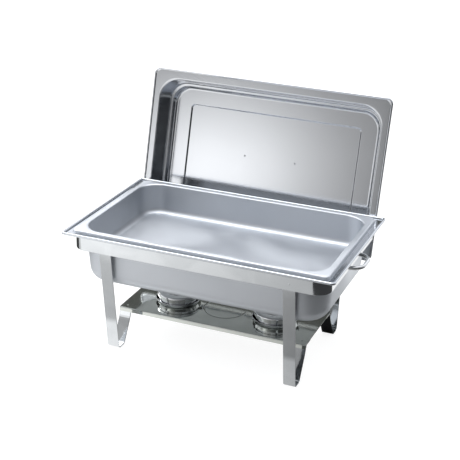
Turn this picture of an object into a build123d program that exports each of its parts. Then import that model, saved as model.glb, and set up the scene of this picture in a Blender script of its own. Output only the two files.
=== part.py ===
# Chafing dish food warmer: a spot-welded strap stand with a fuel shelf, a water pan, a full-size
# gastronorm food pan, two gel-fuel burners with swinging shutters, and a lid parked upright in
# clips behind the stand.
# Built with +X to the right, +Y to the back and +Z up from the floor. Lengths are in millimetres.
# Everything is first placed about the middle of the four feet, then moved together so that the
# origin is the bottom centre of the bounding box.

from math import cos, radians, sin, tan
import os

from build123d import *

# ---------------------------------------------------------------- driving dimensions
rim_height = 257.0          # floor to the top of the water pan's rolled edge
running_gap = 0.3           # clearance between a loose piece and what it stands in

# food pan: gastronorm 1/1
food_length = 530.0
food_width = 325.0
food_corner = 12.0
food_flange = 12.6          # width of the flat flange round the opening
food_opening_corner = 45.0
food_depth = 65.0
food_draft = 4.0            # degrees
food_bottom_radius = 13.0
food_sheet = 1.0
food_lip = 7.7              # height of the flange's turned-down edge

# water pan
rim_end_width = 15.0        # rim at each end, outside the recess
rim_side_width = 13.7       # rim along each side
rim_corner = 9.0
rim_bead = 5.7              # thickness of the rolled edge
rim_dip = 3.5               # how far the flat of the rim lies below the top of its rolled edge
recess_depth = 1.5          # flat of the rim to the ledge under the food pan's flange
recess_gap = 2.0            # play round the food pan's flange
ledge_end = 7.0             # width of the recess's floor that carries the food pan's flange
ledge_side = 9.5
pan_corner = 56.0
pan_depth = 107.8           # ledge to the well's underside
pan_draft = 4.5             # degrees
pan_bottom_radius = 28.0
pan_sheet = 1.0

# top rail: a flat band bent into a ring
rail_end_inset = 16.0       # how far the rail stands in from the rim's edge
rail_side_inset = 12.2
rail_corner = 30.0
rail_height = 31.0
rail_thickness = 2.0

# legs: flat straps bent into a foot and brought back up under the shelf
strap_width = 25.0
strap_thickness = 2.0
leg_x = 191.5               # middle of each strap
leg_lap = 25.0              # how far a strap runs up inside the rail
leg_lean = 7.53             # degrees from upright
foot_span = 23.4            # between the bends of the foot, along Y
foot_bend_radius = 8.0
leg_bend_radius = 25.0
inner_knee_y = 84.0         # where the returning strap turns towards the shelf
inner_knee_height = 46.0
inner_knee_radius = 60.0
shelf_bend_radius = 5.0
shelf_lap = 24.0            # how far the strap runs in under the shelf

# fuel shelf: a channel with its front and back edges turned down
shelf_height = 68.0         # floor to the shelf's top face
shelf_length = 408.0
shelf_width = 164.0
shelf_sheet = 1.2
shelf_flange = 9.0
shelf_edge_radius = 2.0
shelf_ring_radius = 46.0    # raised ring pressed in the middle
shelf_ring_width = 2.6
shelf_ring_height = 0.6
strap_to_flange = 4.0       # between a strap's upright and the inside of the shelf's flange

# carry handles: round rod loops welded to the rail's ends
handle_rod = 8.0
handle_span = 70.0          # between the middles of the two rod ends
handle_reach = 30.0         # rail face to the outside of the loop
handle_bend = 24.0
handle_drop = 29.0          # rim top to the middle of the rod

# lid
lid_end_overlap = 8.0       # how far the lid reaches past the food pan's flange
lid_side_overlap = 8.7
lid_corner = 14.0
lid_sheet = 1.0
lid_bead = 5.0              # thickness of the curled edge
lid_mouth_length = 510.0
lid_mouth_width = 300.0
lid_mouth_corner = 48.0
lid_lower_depth = 43.0      # flange to the shoulder
lid_lower_draft = 11.0      # degrees
lid_shoulder = 5.0          # how far the shoulder steps in
lid_depth = 55.0            # flange to the inside of the crown
lid_upper_draft = 18.0      # degrees
lid_crown_radius = 6.0
panel_length = 400.0        # rectangle pressed outwards in the crown
panel_width = 197.0
panel_corner = 10.0
panel_step = 2.0
lid_tilt = 13.6             # degrees back from upright
lid_turn = -1.46            # degrees about Z, as it was put down in its clips
lid_rest_x = -12.0
lid_stand_off = 9.43        # from the legs' outer face to the flange's back, at the lid's lower edge
clip_drop = 59.2            # from the rail's lower edge to the lid's lower edge

# lid handle: a bent strap spot-welded to the raised rectangle
grip_width = 20.0
grip_thickness = 2.0
grip_foot_spacing = 118.0
grip_foot_length = 18.0
grip_height = 30.0
grip_lean = 6.0             # how far each upright leans in, along the lid
grip_bend = 5.0

# lid clips: bent straps welded to the rear legs
clip_tab = 27.0             # length welded to the leg
clip_floor_gap = 0.1        # between the clip's floor and the lid's edge
clip_mouth = 19.0           # leg face to the inside of the clip's lip
clip_lip = 15.0
clip_bend = 2.6

# burners
burner_places = {"left": -107.0, "right": 110.0}
saucer_radius = 47.5        # at its rim
saucer_foot_radius = 44.5
saucer_height = 8.0
burner_sheet = 1.0
cup_radius = 43.0
cup_height = 20.0
cover_sheet = 1.2
cover_edge_radius = 1.1
cover_skirt = 6.5           # how far the cover's edge comes down outside the cup
cover_opening_radius = 23.0
shutter_sheet = 1.0
shutter_overlap = 4.0       # how far the shutter covers the edge of the opening
shutter_gap = 0.2           # between the shutter and the cover
shutter_lug_radius = 5.5
shutter_tab_width = 14.0
shutter_tab_reach = 50.0    # from the middle of the burner
shutter_tab_lip = 4.0
shutter_tab_angle = 30.0
pivot_reach = 33.0          # from the middle of the burner
pivot_angle = 150.0
pivot_radius = 2.0
pivot_play = 0.05
pivot_head_radius = 4.0
pivot_head_height = 1.4


# ---------------------------------------------------------------- shared shapes
def slab(length, width, corner, bottom, top):
    """A flat plate with rounded corners between two heights."""
    return Pos(0, 0, bottom) * extrude(RectangleRounded(length, width, corner), top - bottom)


def well(length, width, corner, depth, draft, bottom_radius):
    """A solid that hangs down from z = 0, narrows by its draft and has a rounded bottom edge."""
    outline = RectangleRounded(length, width, corner)
    body = extrude(outline, amount=depth, dir=(0, 0, -1), taper=draft)
    return fillet(body.faces().sort_by(Axis.Z)[0].edges(), bottom_radius)


def hollow_well(length, width, corner, depth, draft, bottom_radius, sheet):
    """The outside and the inside of a pan whose outer size is given."""
    outside = well(length, width, corner, depth, draft, bottom_radius)
    inside = well(length - 2 * sheet, width - 2 * sheet, corner - sheet, depth - sheet, draft,
                  bottom_radius - sheet)
    return outside, inside


def strap(points, radii, width, thickness, x):
    """A flat strap of constant width along X, bent in the YZ plane along the given points."""
    path = FilletPolyline(*[(x, y, z) for y, z in points], radius=radii)
    section = Plane(path @ 0, x_dir=(1, 0, 0), z_dir=path % 0) * Rectangle(width, thickness)
    return sweep(section, path=path)


def ring(outer_radius, inner_radius, height):
    """A flat ring standing on z = 0."""
    return extrude(Circle(outer_radius) - Circle(inner_radius), height)


def leg_face(height):
    """Y of a leg's outer face at a height above the floor."""
    return rail_width / 2 - rail_thickness - (rail_bottom - height) * tan(radians(leg_lean))


# ---------------------------------------------------------------- sizes that several pieces share
recess_length = food_length + 2 * recess_gap
recess_width = food_width + 2 * recess_gap
rim_length = recess_length + 2 * rim_end_width
rim_width = recess_width + 2 * rim_side_width
pan_length = recess_length - 2 * ledge_end      # outside of the well at its mouth
pan_width = recess_width - 2 * ledge_side
rail_length = rim_length - 2 * rail_end_inset
rail_width = rim_width - 2 * rail_side_inset
lid_length = food_length + 2 * lid_end_overlap
lid_width = food_width + 2 * lid_side_overlap
rim_flat = rim_height - rim_dip
recess_floor = rim_flat - recess_depth
rail_top = recess_floor - pan_sheet
rail_bottom = rail_top - rail_height
lid_rest_height = rail_bottom - clip_drop


# ---------------------------------------------------------------- pans
def make_food_pan():
    top = recess_floor + food_lip
    flange = slab(food_length, food_width, food_corner, recess_floor, top)
    inset = 2 * food_sheet
    flange -= slab(food_length - inset, food_width - inset, food_corner - food_sheet,
                   recess_floor, top - food_sheet)
    outside, inside = hollow_well(
        food_length - 2 * food_flange + inset, food_width - 2 * food_flange + inset,
        food_opening_corner + food_sheet, food_depth + food_sheet, food_draft,
        food_bottom_radius + food_sheet, food_sheet)
    return flange + Pos(0, 0, top) * outside - Pos(0, 0, top) * inside


def make_water_pan():
    flat = slab(rim_length - rim_bead, rim_width - rim_bead, rim_corner - rim_bead / 2,
                rim_flat - pan_sheet, rim_flat)
    bead = slab(rim_length, rim_width, rim_corner, rim_height - rim_bead, rim_height)
    bead -= slab(rim_length - 2 * rim_bead, rim_width - 2 * rim_bead, rim_corner - rim_bead,
                 rim_height - rim_bead, rim_height)
    bead = fillet(bead.faces().filter_by(Axis.Z).edges(), 0.45 * rim_bead)
    inset = 2 * pan_sheet
    recess_corner = food_corner + recess_gap
    tray = slab(recess_length + inset, recess_width + inset, recess_corner + pan_sheet,
                rail_top, rim_flat)
    recess = slab(recess_length, recess_width, recess_corner, recess_floor, rim_flat)
    outside, inside = hollow_well(pan_length, pan_width, pan_corner, pan_depth, pan_draft,
                                  pan_bottom_radius, pan_sheet)
    place = Pos(0, 0, recess_floor)
    return flat + bead + tray - recess + place * outside - place * inside


# ---------------------------------------------------------------- stand
def make_top_rail():
    inset = 2 * rail_thickness
    band = slab(rail_length, rail_width, rail_corner, rail_bottom, rail_top)
    return band - slab(rail_length - inset, rail_width - inset, rail_corner - rail_thickness,
                       rail_bottom, rail_top)


def make_leg(side_x, side_y):
    """A strap from inside the rail, down to the foot, back up and in under the shelf."""
    middle = strap_thickness / 2
    top_y = leg_face(rail_bottom) - middle
    foot_y = leg_face(0) - middle
    under_shelf = shelf_height - shelf_sheet - middle
    shelf_y = shelf_width / 2 - shelf_sheet - strap_to_flange - middle
    points = [
        (top_y, rail_bottom + leg_lap),
        (top_y, rail_bottom),
        (foot_y, middle),
        (foot_y - foot_span, middle),
        (inner_knee_y, inner_knee_height),
        (shelf_y, under_shelf),
        (shelf_y - shelf_lap, under_shelf),
    ]
    radii = [leg_bend_radius, foot_bend_radius, foot_bend_radius, inner_knee_radius,
             shelf_bend_radius]
    points = [(side_y * y, z) for y, z in points]
    return strap(points, radii, strap_width, strap_thickness, side_x * leg_x)


def make_fuel_shelf():
    blank = Pos(0, 0, shelf_height - shelf_flange / 2) * Box(shelf_length, shelf_width, shelf_flange)
    long_edges = blank.edges().filter_by(Axis.X).group_by(Axis.Z)[-1]
    blank = fillet(long_edges, shelf_edge_radius)
    inside_width = shelf_width - 2 * shelf_sheet
    inside_top = shelf_height - shelf_sheet
    inside = Pos(0, 0, inside_top - shelf_flange / 2) * Box(shelf_length, inside_width, shelf_flange)
    inside_edges = inside.edges().filter_by(Axis.X).group_by(Axis.Z)[-1]
    inside = fillet(inside_edges, shelf_edge_radius - shelf_sheet)
    pressed = ring(shelf_ring_radius, shelf_ring_radius - shelf_ring_width, shelf_ring_height)
    return blank - inside + Pos(0, 0, shelf_height) * pressed


def make_carry_handle(side):
    rod = handle_rod / 2
    height = rim_height - handle_drop
    near = side * rail_length / 2
    far = side * (rail_length / 2 + handle_reach - rod)
    half = handle_span / 2
    path = FilletPolyline((near, -half, height), (far, -half, height), (far, half, height),
                          (near, half, height), radius=handle_bend)
    return sweep(Plane(path @ 0, z_dir=path % 0) * Circle(rod), path=path)


def make_lid_clip(side):
    """A strap welded down the leg's outer face, with a floor for the lid's edge and a lip."""
    middle = strap_thickness / 2
    floor = lid_rest_height - lid_bead_back * sin(radians(lid_tilt)) - clip_floor_gap
    out = middle / cos(radians(leg_lean))
    lip_y = leg_face(floor) + clip_mouth + middle
    rise = clip_lip * cos(radians(lid_tilt))
    run = clip_lip * sin(radians(lid_tilt))
    points = [
        (leg_face(floor - clip_tab) + out, floor - clip_tab),
        (leg_face(floor - middle) + out, floor - middle),
        (lip_y, floor - middle),
        (lip_y + run, floor - middle + rise),
    ]
    return strap(points, [clip_bend, clip_bend], strap_width, strap_thickness, side * leg_x)


# ---------------------------------------------------------------- lid, lying flat, crown up
lid_bead_front = (lid_bead - lid_sheet) / 3
lid_bead_back = lid_bead - lid_bead_front


def lid_crown(grow, depth):
    """The lid's bulge, grown by the sheet for its outside."""
    lower_depth = lid_lower_depth + grow
    narrowing = lid_lower_depth * tan(radians(lid_lower_draft)) + lid_shoulder
    lower = well(lid_mouth_length + 2 * grow, lid_mouth_width + 2 * grow,
                 lid_mouth_corner + grow, lower_depth, lid_lower_draft, lid_shoulder / 2)
    upper = well(lid_mouth_length - 2 * narrowing + 2 * grow,
                 lid_mouth_width - 2 * narrowing + 2 * grow,
                 lid_mouth_corner - narrowing / 2 + grow,
                 depth - lid_lower_depth, lid_upper_draft, lid_crown_radius)
    turned_over = Rot(180, 0, 0)
    return turned_over * (lower + Pos(0, 0, -lid_lower_depth) * upper)


def make_lid_shell():
    flange = slab(lid_length, lid_width, lid_corner, 0, lid_sheet)
    bead = slab(lid_length, lid_width, lid_corner, -lid_bead_front, lid_bead_back)
    bead = fillet(bead.faces().filter_by(Axis.Z).edges(), lid_bead / 4)
    bead -= slab(lid_length - 2 * lid_bead, lid_width - 2 * lid_bead, lid_corner - lid_bead,
                 -lid_bead_front, lid_bead_back)
    shell = flange + bead + lid_crown(lid_sheet, lid_depth + lid_sheet) - lid_crown(0, lid_depth)
    inner_face = lid_depth + panel_step
    raised = slab(panel_length + 2 * lid_sheet, panel_width + 2 * lid_sheet,
                  panel_corner + lid_sheet, lid_depth, inner_face + lid_sheet)
    return shell + raised - slab(panel_length, panel_width, panel_corner, lid_depth, inner_face)


def make_lid_handle():
    """A strap whose two feet lie on the raised rectangle, bent in the XZ plane."""
    middle = grip_thickness / 2
    seat = lid_depth + panel_step + lid_sheet
    outer = (grip_foot_spacing + grip_foot_length) / 2
    inner = (grip_foot_spacing - grip_foot_length) / 2
    top = seat + grip_height - middle
    points = [
        (-outer, 0, seat + middle),
        (-inner, 0, seat + middle),
        (-inner + grip_lean, 0, top),
        (inner - grip_lean, 0, top),
        (inner, 0, seat + middle),
        (outer, 0, seat + middle),
    ]
    path = FilletPolyline(*points, radius=grip_bend)
    section = Plane(path @ 0, x_dir=(0, 1, 0), z_dir=path % 0) * Rectangle(grip_width, grip_thickness)
    return sweep(section, path=path)


def lid_place():
    """From the lid lying flat, crown up, to the lid standing on its long edge in the clips."""
    stand_up = Rot(-90 - lid_tilt, 0, 0) * Pos(0, -lid_width / 2, 0)
    lid_rest_y = leg_face(lid_rest_height) + lid_stand_off
    return Pos(lid_rest_x, lid_rest_y, lid_rest_height) * Rot(0, 0, lid_turn) * stand_up


# ---------------------------------------------------------------- burners, standing on z = 0
cup_top = burner_sheet + cup_height
cover_top = cup_top + cover_sheet
shutter_bottom = cover_top + shutter_gap
shutter_top = shutter_bottom + shutter_sheet


def polar(radius, angle):
    return radius * cos(radians(angle)), radius * sin(radians(angle))


def make_saucer():
    base = (Align.CENTER, Align.CENTER, Align.MIN)
    dish = Cone(saucer_foot_radius, saucer_radius, saucer_height, align=base)
    dish = fillet(dish.edges().sort_by(Axis.Z)[0], burner_sheet)
    return dish - Pos(0, 0, burner_sheet) * Cone(
        saucer_foot_radius - burner_sheet, saucer_radius - burner_sheet, saucer_height, align=base)


def make_cup():
    base = (Align.CENTER, Align.CENTER, Align.MIN)
    cup = Cylinder(cup_radius, cup_height, align=base)
    cup = fillet(cup.faces().sort_by(Axis.Z)[0].edges(), burner_sheet)
    cup -= Pos(0, 0, burner_sheet) * Cylinder(cup_radius - burner_sheet, cup_height, align=base)
    return Pos(0, 0, burner_sheet) * cup


def make_cover():
    """A cap whose edge comes down outside the cup."""
    inner_radius = cup_radius + running_gap
    radius = inner_radius + cover_sheet
    cap = Pos(0, 0, -cover_skirt) * ring(radius, cover_opening_radius, cover_skirt + cover_sheet)
    rim = cap.edges().filter_by(GeomType.CIRCLE).group_by(Axis.Z)[-1].sort_by(SortBy.RADIUS)[-1:]
    cap = fillet(rim, cover_edge_radius)
    cap -= Pos(0, 0, -cover_skirt) * Cylinder(
        inner_radius, cover_skirt, align=(Align.CENTER, Align.CENTER, Align.MIN))
    x, y = polar(pivot_reach, pivot_angle)
    hole = Pos(x, y, 0) * Cylinder(pivot_radius, 4 * cover_sheet)
    return Pos(0, 0, cup_top) * (cap - hole)


def make_shutter():
    radius = cover_opening_radius + shutter_overlap
    x, y = polar(pivot_reach, pivot_angle)
    disc = Circle(radius) + Pos(x, y) * Circle(shutter_lug_radius)
    reach = pivot_reach / 2
    lug = Rot(0, 0, pivot_angle) * Pos(reach, 0) * Rectangle(pivot_reach, 2 * shutter_lug_radius)
    tab = Rot(0, 0, shutter_tab_angle) * Pos(shutter_tab_reach / 2, 0) * Rectangle(
        shutter_tab_reach, shutter_tab_width)
    hole = Pos(x, y) * Circle(pivot_radius + pivot_play)
    plate = extrude(disc + lug + tab - hole, shutter_sheet)
    lip = Rot(0, 0, shutter_tab_angle) * Pos(
        shutter_tab_reach - shutter_sheet / 2, 0, shutter_tab_lip / 2) * Box(
        shutter_sheet, shutter_tab_width, shutter_tab_lip)
    return Pos(0, 0, shutter_bottom) * (plate + lip)


def make_pivot():
    """A rivet: its shank is fast in the cover and turns in the shutter."""
    x, y = polar(pivot_reach, pivot_angle)
    base = (Align.CENTER, Align.CENTER, Align.MIN)
    head_bottom = shutter_top + shutter_gap
    shank = Pos(x, y, cup_top) * Cylinder(pivot_radius, head_bottom - cup_top, align=base)
    head = Cylinder(pivot_head_radius, pivot_head_height, align=base)
    head = fillet(head.faces().sort_by(Axis.Z)[-1].edges(), pivot_head_height / 2)
    return shank + Pos(x, y, head_bottom) * head


# ---------------------------------------------------------------- assembly
pieces = {
    "top_rail": make_top_rail(),
    "fuel_shelf": make_fuel_shelf(),
    "water_pan": make_water_pan(),
    "food_pan": make_food_pan(),
    "lid_shell": lid_place() * make_lid_shell(),
    "lid_handle": lid_place() * make_lid_handle(),
}
for side, sign in (("left", -1), ("right", 1)):
    pieces["leg_front_" + side] = make_leg(sign, -1)
    pieces["leg_rear_" + side] = make_leg(sign, 1)
    pieces["carry_handle_" + side] = make_carry_handle(sign)
    pieces["lid_clip_" + side] = make_lid_clip(sign)
    stand = Pos(burner_places[side], 0, shelf_height)
    pieces["burner_saucer_" + side] = stand * make_saucer()
    pieces["burner_cup_" + side] = stand * make_cup()
    pieces["burner_cover_" + side] = stand * make_cover()
    pieces["burner_shutter_" + side] = stand * make_shutter()
    pieces["shutter_pivot_" + side] = stand * make_pivot()

boxes = [piece.bounding_box() for piece in pieces.values()]
middle_y = (min(box.min.Y for box in boxes) + max(box.max.Y for box in boxes)) / 2
middle_x = (min(box.min.X for box in boxes) + max(box.max.X for box in boxes)) / 2
to_origin = Pos(-middle_x, -middle_y, 0)

os.makedirs("parts", exist_ok=True)
for name, piece in pieces.items():
    export_step(to_origin * piece, "parts/" + name + ".step")
    print(name, "volume", round(piece.volume, 1), "solids", len(piece.solids()))
print("middle of the feet at y =", round(-middle_y, 4), "x =", round(-middle_x, 4))
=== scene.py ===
# Chafing dish food warmer: drawn and folded steel surfaces, their finishes and a studio around the
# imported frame. Lengths are in metres and angles in degrees, +Z is up and the table's top is at z = 0.
from math import cos, pi, radians, sin, tan
import bpy
import numpy as np
from mathutils import Matrix, Vector


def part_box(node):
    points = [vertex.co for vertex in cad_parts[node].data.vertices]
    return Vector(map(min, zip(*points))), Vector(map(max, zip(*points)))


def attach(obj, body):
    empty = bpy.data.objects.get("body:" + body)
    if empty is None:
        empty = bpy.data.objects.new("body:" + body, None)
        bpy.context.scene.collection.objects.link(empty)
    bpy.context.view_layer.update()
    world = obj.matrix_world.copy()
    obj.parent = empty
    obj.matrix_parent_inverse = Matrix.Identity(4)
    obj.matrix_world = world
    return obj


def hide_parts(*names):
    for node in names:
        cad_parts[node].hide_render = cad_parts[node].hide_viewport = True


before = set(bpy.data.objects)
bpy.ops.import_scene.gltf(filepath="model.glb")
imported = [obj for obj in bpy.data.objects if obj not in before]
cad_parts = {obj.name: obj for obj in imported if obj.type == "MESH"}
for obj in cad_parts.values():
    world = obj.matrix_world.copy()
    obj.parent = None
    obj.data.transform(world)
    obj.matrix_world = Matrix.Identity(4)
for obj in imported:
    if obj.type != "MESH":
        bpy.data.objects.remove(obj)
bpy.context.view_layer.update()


# ---- surfaces from numpy arrays

def boxOf(name):
    # The corners of a CAD node's box, its middle and its half size.
    low, high = (np.array(corner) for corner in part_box(name))
    return {"low": low, "high": high, "middle": (low + high) / 2, "half": (high - low) / 2}


def supported(line, closed=False, reach=0.0004):
    # Adds a point close to both ends of every long run, so that smooth shading stays in the bends.
    after = np.roll(line, -1, axis=0) if closed else line[1:]
    before = line if closed else line[:-1]
    points = []
    for start, end in zip(before, after):
        points.append(start)
        length = np.linalg.norm(end - start)
        if length > 4 * reach:
            points += [start + (end - start) * reach / length, end + (start - end) * reach / length]
    if not closed:
        points.append(line[-1])
    return np.array(points)


def roundedLine(corners, radii, degreesPerStep=9.0):
    # Every inner corner is replaced by an arc tangent to its two runs: the tangent points lie
    # r tan(turn / 2) before and after the corner, and the arc turns one end's radius into the
    # other's by equal angles (a spherical blend of the two radius vectors).
    corners = np.asarray(corners, float)
    pieces = [corners[:1]]
    for before, corner, after, radius in zip(corners, corners[1:], corners[2:], radii):
        inward = (corner - before) / np.linalg.norm(corner - before)
        outward = (after - corner) / np.linalg.norm(after - corner)
        turn = np.arccos(np.clip(inward @ outward, -1, 1))
        if radius <= 0 or turn < 1e-6:
            pieces.append(corner[None])
            continue
        reach = radius * tan(turn / 2)
        bisector = outward - inward
        centre = corner + bisector / np.linalg.norm(bisector) * radius / cos(turn / 2)
        first = corner - inward * reach - centre
        last = corner + outward * reach - centre
        share = np.linspace(0, 1, max(2, int(np.ceil(np.degrees(turn) / degreesPerStep))) + 1)
        arc = np.outer(np.sin((1 - share) * turn), first) + np.outer(np.sin(share * turn), last)
        pieces.append(centre + arc / sin(turn))
    pieces.append(corners[-1:])
    return supported(np.concatenate(pieces))


def gridFaces(rows, columns, closedRows, closedColumns):
    # Quads between neighbouring rows and columns of a grid, with wrap-around where it is closed.
    i = np.arange(rows if closedRows else rows - 1)[:, None]
    j = np.arange(columns if closedColumns else columns - 1)[None]
    iNext, jNext = (i + 1) % rows, (j + 1) % columns
    corners = [i * columns + j, i * columns + jNext, iNext * columns + jNext, iNext * columns + j]
    return np.stack(np.broadcast_arrays(*corners), -1).reshape(-1, 4)


def alongGrid(grid, axis, closed):
    # Distance travelled along one axis of the grid, taken on its longest line.
    steps = np.linalg.norm(np.diff(grid, axis=axis), axis=-1).max(axis=1 - axis)
    if closed:
        ends = grid.take(0, axis) - grid.take(-1, axis)
        steps = np.append(steps, np.linalg.norm(ends, axis=-1).max())
    return np.concatenate([[0], np.cumsum(steps)])


def skin(name, grid, closedRows=False, closedColumns=True, capped=True, masks=None, sharpAt=35):
    # A mesh from a grid of points. Its UV map holds the distance along the columns and along the
    # rows, in metres. A signed volume (the sum of each face's triple product) tells whether the
    # faces point outwards, and they are turned round if not.
    rows, columns = grid.shape[:2]
    points = grid.reshape(-1, 3)
    faces = gridFaces(rows, columns, closedRows, closedColumns)
    a, b, c, d = (points[faces[:, k]] for k in range(4))
    volume = (a * np.cross(b, c)).sum() + (a * np.cross(c, d)).sum()
    across = alongGrid(grid, 1, closedColumns)
    along = alongGrid(grid, 0, closedRows)
    faceRows = rows if closedRows else rows - 1
    faceColumns = columns if closedColumns else columns - 1
    i = np.arange(faceRows)[:, None]
    j = np.arange(faceColumns)[None]
    u = np.stack([across[j], across[j + 1], across[j + 1], across[j]], -1)
    v = np.stack([along[i], along[i], along[i + 1], along[i + 1]], -1)
    uv = np.stack(np.broadcast_arrays(u, v), -1).reshape(-1, 4, 2)
    if volume < 0:
        faces, uv = faces[:, ::-1], uv[:, ::-1]
    allFaces = faces.tolist()
    if capped and not closedRows:
        first = list(range(columns))
        last = list(range((rows - 1) * columns, rows * columns))
        allFaces.append(first if volume < 0 else first[::-1])
        allFaces.append(last[::-1] if volume < 0 else last)
    mesh = bpy.data.meshes.new(name)
    mesh.from_pydata(points.tolist(), [], allFaces)
    uvLayer = mesh.uv_layers.new(name="UVMap")
    flat = np.zeros((len(mesh.loops), 2), np.float32)
    flat[:uv.shape[0] * 4] = uv.reshape(-1, 2)
    uvLayer.data.foreach_set("uv", flat.ravel())
    for maskName, values in (masks or {}).items():
        layer = mesh.attributes.new(maskName, "FLOAT", "POINT")
        layer.data.foreach_set("value", np.ascontiguousarray(values, np.float32).ravel())
    return finished(name, mesh, sharpAt)


def finished(name, mesh, sharpAt):
    mesh.validate()
    mesh.shade_smooth()
    mesh.set_sharp_from_angle(angle=radians(sharpAt))
    piece = bpy.data.objects.new(name, mesh)
    bpy.context.scene.collection.objects.link(piece)
    return piece


def roundedRings(profile, knots, cornerSteps=16, sideSteps=6, sideEnd=0.005):
    # One rounded rectangle for each profile point (inset, height). The knots give the half length,
    # half width and corner radius at an inset. Each corner is a quarter circle of the radius about
    # its centre, and the sides between are straight, with a point close to both of their ends.
    inset, height = np.asarray(profile, float).T
    table = np.asarray(knots, float)
    halfLength, halfWidth, corner = (np.interp(inset, table[:, 0], table[:, k]) for k in (1, 2, 3))
    quarter = np.linspace(0, pi / 2, cornerSteps + 1)
    arcs = []
    for q, (sx, sy) in enumerate(((1, 1), (-1, 1), (-1, -1), (1, -1))):
        x = (sx * (halfLength - corner))[:, None] + np.outer(corner, np.cos(quarter + q * pi / 2))
        y = (sy * (halfWidth - corner))[:, None] + np.outer(corner, np.sin(quarter + q * pi / 2))
        arcs.append(np.stack([x, y], -1))
    share = np.linspace(0, 1, sideSteps + 1)
    share[[0, -1]] = sideEnd, 1 - sideEnd
    share = share[None, :, None]
    loops = []
    for q in range(4):
        start, end = arcs[q][:, -1:], arcs[(q + 1) % 4][:, :1]
        loops += [arcs[q], start * (1 - share) + end * share]
    ring = np.concatenate(loops, 1)
    z = np.broadcast_to(height[:, None, None], ring.shape[:2] + (1,))
    return np.concatenate([ring, z], -1)


def carried(path, section, side):
    # A flat section carried along a path. Its first coordinate goes along the fixed side
    # direction, and its second along the normal, which is the tangent crossed with the side.
    steps = np.diff(path, axis=0)
    steps /= np.linalg.norm(steps, axis=1)[:, None]
    tangent = np.concatenate([steps[:1], steps[:-1] + steps[1:], steps[-1:]])
    tangent /= np.linalg.norm(tangent, axis=1)[:, None]
    side = np.asarray(side, float)
    normal = np.cross(tangent, side)
    return path[:, None] + section[None, :, :1] * side + section[None, :, 1:] * normal[:, None]


def plateSection(width, thickness, edge, steps=4):
    # A rectangle with rounded edges, as points round its outline.
    turn = np.linspace(0, pi / 2, steps)
    loops = []
    for q, (sx, sy) in enumerate(((1, 1), (-1, 1), (-1, -1), (1, -1))):
        x = sx * (width / 2 - edge) + edge * np.cos(turn + q * pi / 2)
        y = sy * (thickness / 2 - edge) + edge * np.sin(turn + q * pi / 2)
        loops.append(np.stack([x, y], -1))
    return supported(np.concatenate(loops), closed=True)


def roundSection(radius, steps=20):
    turn = np.linspace(0, 2 * pi, steps, endpoint=False)
    return radius * np.stack([np.cos(turn), np.sin(turn)], -1)


def turned(profile, steps=72):
    # A profile (radius, height) turned once round the Z axis.
    angle = np.linspace(0, 2 * pi, steps, endpoint=False)
    radius, height = np.asarray(profile, float).T
    x = np.outer(radius, np.cos(angle))
    y = np.outer(radius, np.sin(angle))
    return np.stack([x, y, np.broadcast_to(height[:, None], x.shape)], -1)


def placedLike(grid, name):
    # Moves a grid so that the middle of its box is the middle of the CAD node's box.
    flat = grid.reshape(-1, 3)
    return grid + boxOf(name)["middle"] - (flat.min(0) + flat.max(0)) / 2


def weldMarks(name, centres, outward, across, radius=0.0022, height=0.0003, innermost=0.04):
    # Spot welds show as shallow round swellings: their height falls off as a squared cosine. One
    # cap is made from its innermost ring, a share of the radius, outwards and copied to each centre.
    outward, across = (np.asarray(v, float) / np.linalg.norm(v) for v in (outward, across))
    share = np.linspace(innermost, 1, 7)
    profile = np.stack([radius * share, height * np.cos(pi / 2 * share) ** 2], -1)
    profile = np.concatenate([profile, [(radius, -height), (radius * innermost, -height)]])
    cap = turned(profile, 16)
    cap = cap[..., :1] * across + cap[..., 1:2] * np.cross(outward, across) + cap[..., 2:] * outward
    rows, columns = cap.shape[:2]
    faces = gridFaces(rows, columns, False, True)
    if np.cross(cap[0, 1] - cap[0, 0], cap[1, 0] - cap[0, 0]) @ outward > 0:
        faces = faces[:, ::-1]
    points, allFaces = [], []
    for k, centre in enumerate(centres):
        points.append(cap.reshape(-1, 3) + centre)
        allFaces += (faces + k * rows * columns).tolist()
        top = k * rows * columns + np.arange(columns)
        allFaces += [top.tolist(), (top + (rows - 1) * columns)[::-1].tolist()]
    mesh = bpy.data.meshes.new(name)
    mesh.from_pydata(np.concatenate(points).tolist(), [], allFaces)
    return finished(name, mesh, sharpAt=50)


def rides(piece, body, material):
    piece.data.materials.append(material)
    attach(piece, body)


def standsFor(piece, body, slot, material, *names):
    rides(piece, body, material)
    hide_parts(*names)


# ---- finishes

def newGroup(name, inputs, outputs):
    group = bpy.data.node_groups.new(name, "ShaderNodeTree")
    for label, kind, value in inputs:
        socket = group.interface.new_socket(label, in_out="INPUT", socket_type="NodeSocket" + kind)
        if value is not None:
            socket.default_value = value
    for label, kind in outputs:
        group.interface.new_socket(label, in_out="OUTPUT", socket_type="NodeSocket" + kind)
    return group, group.nodes.new("NodeGroupInput"), group.nodes.new("NodeGroupOutput")


def addNode(tree, kind, **values):
    made = tree.nodes.new(kind)
    for key, value in values.items():
        setattr(made, key, value)
    return made


def computed(tree, operation, a, b=None):
    made = addNode(tree, "ShaderNodeMath", operation=operation)
    for socket, value in zip(made.inputs, (a, b)):
        if isinstance(value, (int, float)):
            socket.default_value = value
        elif value is not None:
            tree.links.new(value, socket)
    return made.outputs[0]


def spread(tree, value, low, high, fromLow=0.0, fromHigh=1.0, curve="LINEAR"):
    # The value's range from fromLow to fromHigh becomes the range from low to high.
    made = addNode(tree, "ShaderNodeMapRange", interpolation_type=curve)
    tree.links.new(value, made.inputs["Value"])
    for label, number in (("From Min", fromLow), ("From Max", fromHigh), ("To Min", low), ("To Max", high)):
        made.inputs[label].default_value = number
    return made.outputs["Result"]


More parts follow.
